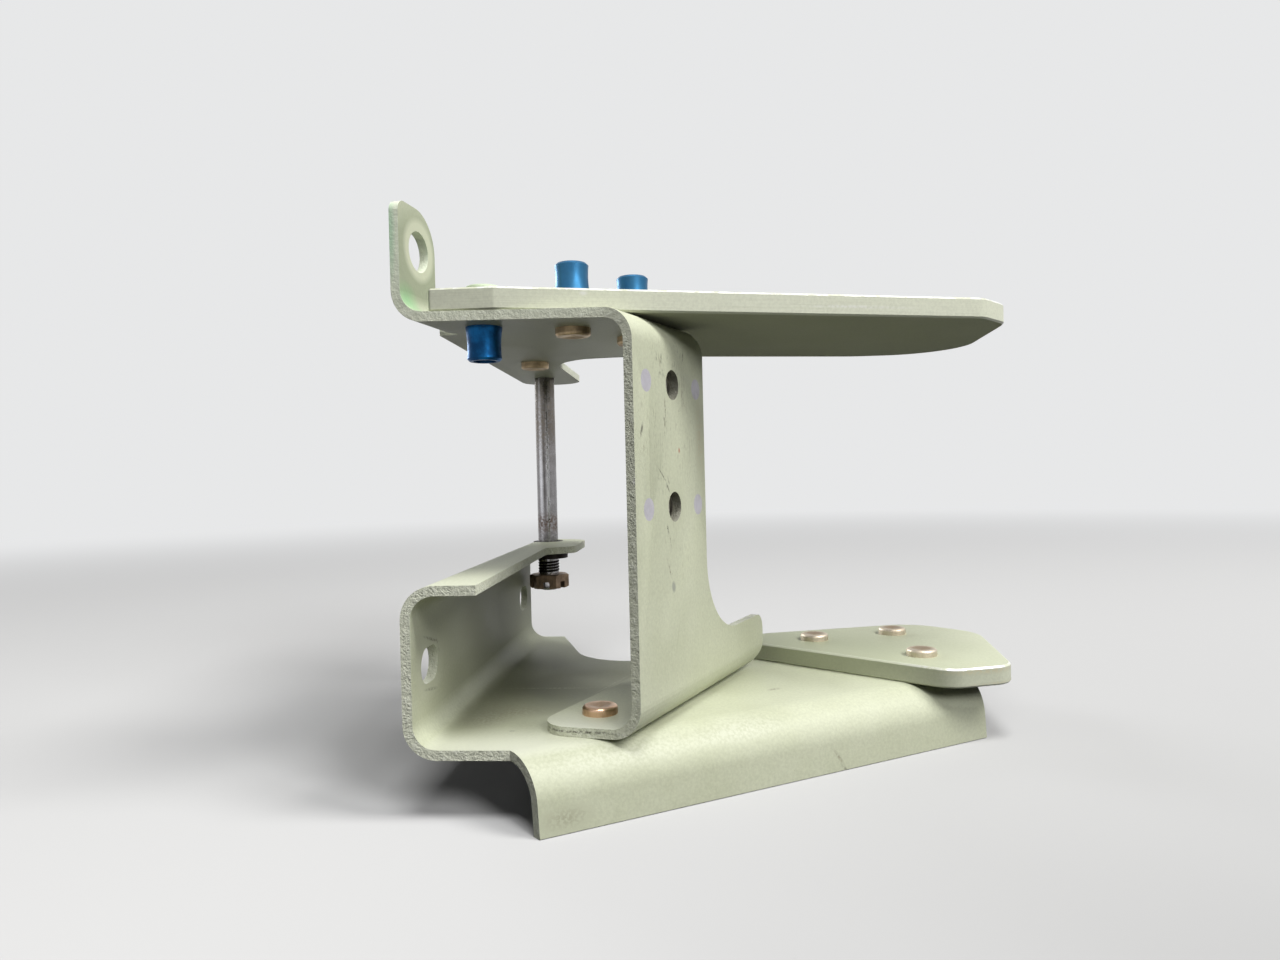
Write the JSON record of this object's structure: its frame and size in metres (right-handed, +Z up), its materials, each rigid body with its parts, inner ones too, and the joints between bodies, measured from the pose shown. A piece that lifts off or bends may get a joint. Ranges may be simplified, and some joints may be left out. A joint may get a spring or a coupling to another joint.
{
  "type": "landing gear bracket",
  "caption": "Bent sheet-metal bracket: a channel, an upright with an ear and a lug, two thick pinned plates, and a long turning bolt between lug and channel.",
  "frame": {"origin": "midway between the two bolt holes in the channel's web, on the web's outer face", "axes": "-X out of the web's outer face, +X to the right across the channel, +Y back along the channel, +Z up"},
  "size_m": [0.1412, 0.139, 0.1253],
  "materials": {
    "channel_paint": "pale sage-green primer, scratched at the holes, grey speckled cut edges",
    "upright_paint": "pale sage-green primer, grey speckled cut edges",
    "plate_paint": "pale sage-green primer, bright worn rims and rough grey cut edges",
    "dark_steel": "dark cadmium-dulled steel with a little dirt",
    "bushing_steel": "dark oiled steel",
    "nut_brown": "brown-tan dulled plating",
    "painted_pin": "overpainted with the sage-green primer",
    "gold_pin": "gold-dyed metal",
    "copper_pin": "reddish copper-dyed metal",
    "pale_pin": "pale gold metal",
    "blue_collar": "blue anodised aluminium",
    "anchor_steel": "dull plated steel",
    "rivet_lavender": "lavender anodised aluminium"
  },
  "bodies": {
    "bracket": {"base_channel": "channel_paint", "upright_bracket": "upright_paint", "top_plate": "plate_paint", "end_plate": "plate_paint", "flanged_bushing": "bushing_steel", "top_pin_1": "painted_pin", "top_pin_2": "gold_pin", "top_pin_3": "gold_pin", "top_pin_4": "gold_pin", "foot_pin_1": "copper_pin", "foot_pin_2": "copper_pin", "end_pin_1": "pale_pin", "end_pin_2": "pale_pin", "end_pin_3": "pale_pin", "top_collar_1": "blue_collar", "top_collar_2": "blue_collar", "top_collar_3": "blue_collar", "top_collar_4": "blue_collar", "foot_collar_1": "blue_collar", "foot_collar_2": "blue_collar", "end_collar_1": "blue_collar", "end_collar_2": "blue_collar", "end_collar_3": "blue_collar", "anchor_nut_1": "anchor_steel", "anchor_nut_2": "anchor_steel", "anchor_rivet_1": "rivet_lavender", "anchor_rivet_2": "rivet_lavender", "anchor_rivet_3": "rivet_lavender", "anchor_rivet_4": "rivet_lavender"},
    "hinge_bolt": {"pivot_bolt": "dark_steel", "bolt_washer": "dark_steel", "castellated_nut": "nut_brown"}
  },
  "joints": [
    {"name": "bolt_turn", "type": "hinge", "parent": "bracket", "child": "hinge_bolt", "pos_m": [0.0096, 0.0523, 0.04], "axis": [0, 0, 1], "continuous": true}
  ]
}
